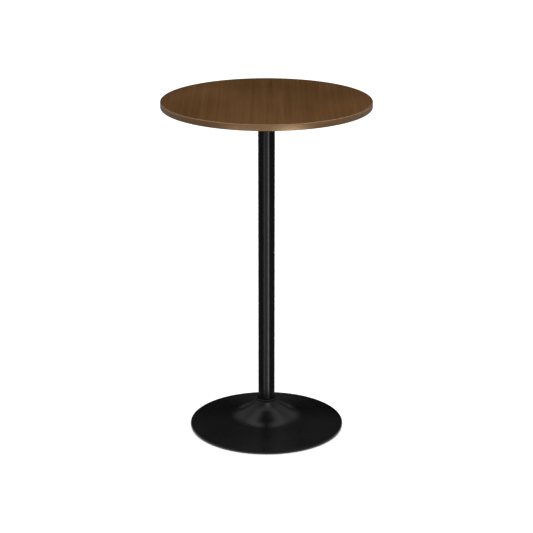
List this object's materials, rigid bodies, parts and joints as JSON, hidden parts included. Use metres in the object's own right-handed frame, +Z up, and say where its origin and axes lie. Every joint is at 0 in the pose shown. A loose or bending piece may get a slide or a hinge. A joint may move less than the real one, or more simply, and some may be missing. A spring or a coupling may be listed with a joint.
{
  "type": "bar table",
  "caption": "Round bar table: stained wood top on a slim steel column, with a spun trumpet base that stands on screw-adjustable feet.",
  "frame": {"origin": "on the floor, below the middle of the column", "axes": "+Z up along the column, +X to the right as seen from the front, +Y to the back"},
  "size_m": [0.6, 0.6, 0.99],
  "materials": {
    "fibreboard": "raw board",
    "stained_veneer": "brown stain under satin lacquer",
    "stained_lipping": "brown stain under satin lacquer",
    "brass": "turned",
    "black_coat": "satin powder coat",
    "weight_coat": "matt primer",
    "zinc_steel": "bright zinc",
    "black_plastic": "moulded, fine grain"
  },
  "bodies": {
    "frame": {"top_core": "fibreboard", "face_veneer": "stained_veneer", "back_veneer": "stained_veneer", "edge_band": "stained_lipping", "threaded_inserts": "brass", "mounting_plate": "black_coat", "plate_weld": "black_coat", "plate_bolts": "zinc_steel", "plate_washers": "zinc_steel", "plate_lock_washers": "zinc_steel", "column_tube": "black_coat", "flange_weld": "black_coat", "column_flange": "black_coat", "flange_screws": "zinc_steel", "base_plate": "weight_coat", "base_cover": "black_coat", "neck_collar": "black_plastic"},
    "pad_back_right": {"foot_pad_back_right": "black_plastic"},
    "pad_back_left": {"foot_pad_back_left": "black_plastic"},
    "pad_front_left": {"foot_pad_front_left": "black_plastic"},
    "pad_front_right": {"foot_pad_front_right": "black_plastic"},
    "stud_back_right": {"foot_stud_back_right": "zinc_steel"},
    "stud_back_left": {"foot_stud_back_left": "zinc_steel"},
    "stud_front_left": {"foot_stud_front_left": "zinc_steel"},
    "stud_front_right": {"foot_stud_front_right": "zinc_steel"}
  },
  "joints": [
    {"name": "foot_back_right_lift", "type": "slide", "parent": "frame", "child": "pad_back_right", "axis": [0, 0, -1], "range_m": [0, 0.00401]},
    {"name": "foot_back_left_lift", "type": "slide", "parent": "frame", "child": "pad_back_left", "axis": [0, 0, -1], "range_m": [0, 0.00401]},
    {"name": "foot_front_left_lift", "type": "slide", "parent": "frame", "child": "pad_front_left", "axis": [0, 0, -1], "range_m": [0, 0.00401]},
    {"name": "foot_front_right_lift", "type": "slide", "parent": "frame", "child": "pad_front_right", "axis": [0, 0, -1], "range_m": [0, 0.00401]},
    {"name": "foot_back_right_screw", "type": "hinge", "parent": "pad_back_right", "child": "stud_back_right", "pos_m": [0.12728, 0.12728, 0.002], "axis": [0, 0, -1], "range_deg": [0, 1152]},
    {"name": "foot_back_left_screw", "type": "hinge", "parent": "pad_back_left", "child": "stud_back_left", "pos_m": [-0.12728, 0.12728, 0.002], "axis": [0, 0, -1], "range_deg": [0, 1152]},
    {"name": "foot_front_left_screw", "type": "hinge", "parent": "pad_front_left", "child": "stud_front_left", "pos_m": [-0.12728, -0.12728, 0.002], "axis": [0, 0, -1], "range_deg": [0, 1152]},
    {"name": "foot_front_right_screw", "type": "hinge", "parent": "pad_front_right", "child": "stud_front_right", "pos_m": [0.12728, -0.12728, 0.002], "axis": [0, 0, -1], "range_deg": [0, 1152]}
  ],
  "couplings": [
    {"joint": "foot_back_right_lift", "follows": "foot_back_right_screw", "m_per_rad": 0.00019894},
    {"joint": "foot_back_left_lift", "follows": "foot_back_left_screw", "m_per_rad": 0.00019894},
    {"joint": "foot_front_left_lift", "follows": "foot_front_left_screw", "m_per_rad": 0.00019894},
    {"joint": "foot_front_right_lift", "follows": "foot_front_right_screw", "m_per_rad": 0.00019894}
  ]
}
